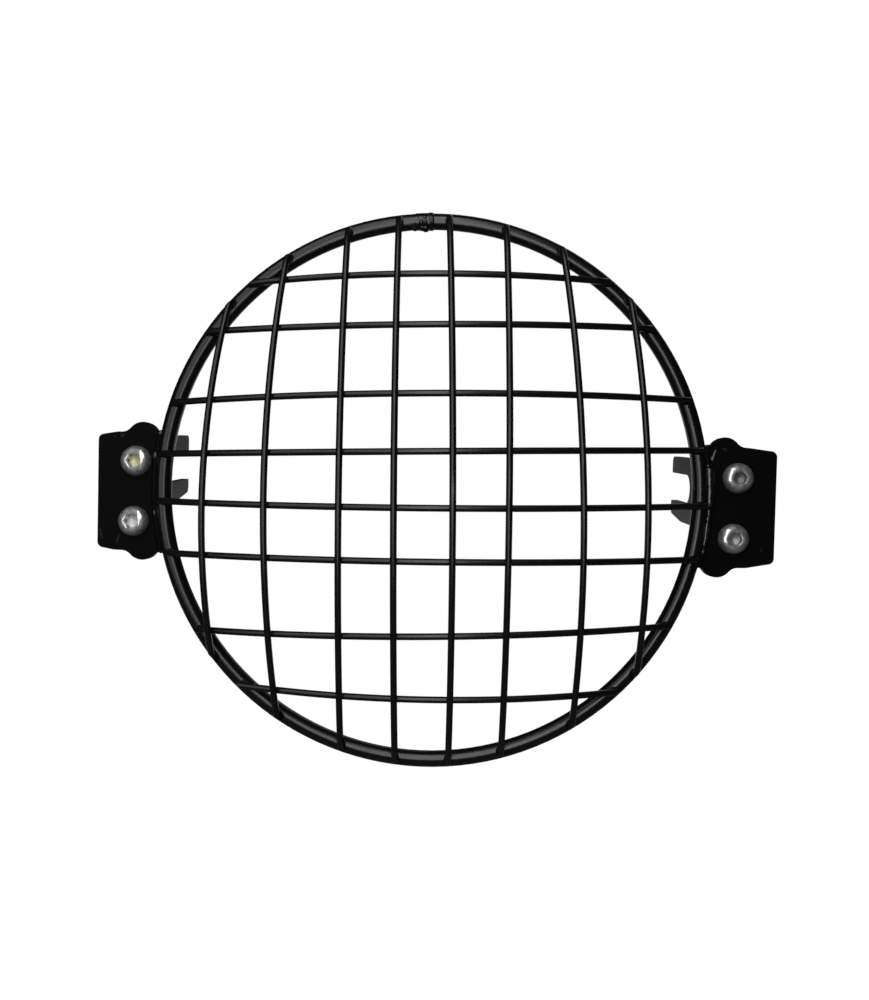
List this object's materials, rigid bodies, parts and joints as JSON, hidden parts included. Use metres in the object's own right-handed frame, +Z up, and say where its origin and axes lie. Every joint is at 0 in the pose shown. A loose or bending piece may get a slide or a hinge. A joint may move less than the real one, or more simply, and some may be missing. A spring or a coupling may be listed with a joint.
{
  "type": "headlight guard",
  "caption": "Domed wire guard for a round headlight: a tube hoop with welded crossing wires, side ears and folded slotted brackets held by button-head screws.",
  "frame": {"origin": "centre of the hoop, on the plane through the centreline of its tube", "axes": "+X from the left bracket to the right bracket as seen from the front, along the brackets' common axis; +Y rearward along the lamp's axis, so the dome bulges to -Y; +Z up"},
  "size_m": [0.2302, 0.0758, 0.1877],
  "materials": {
    "cage_coat": "semi-gloss black powder coat on the hoop and mesh",
    "plate_coat": "semi-gloss black powder coat on the ears and brackets",
    "screw_steel": "plain stainless steel, lightly brushed"
  },
  "bodies": {
    "root": {"hoop": "cage_coat", "upright_wire_1": "cage_coat", "upright_wire_2": "cage_coat", "upright_wire_3": "cage_coat", "upright_wire_4": "cage_coat", "upright_wire_5": "cage_coat", "upright_wire_6": "cage_coat", "upright_wire_7": "cage_coat", "upright_wire_8": "cage_coat", "cross_wire_1": "cage_coat", "cross_wire_2": "cage_coat", "cross_wire_3": "cage_coat", "cross_wire_4": "cage_coat", "cross_wire_5": "cage_coat", "cross_wire_6": "cage_coat", "cross_wire_7": "cage_coat", "cross_wire_8": "cage_coat", "left_ear": "plate_coat", "right_ear": "plate_coat", "left_bracket": "plate_coat", "right_bracket": "plate_coat", "left_upper_screw": "screw_steel", "left_lower_screw": "screw_steel", "right_upper_screw": "screw_steel", "right_lower_screw": "screw_steel"}
  },
  "joints": []
}
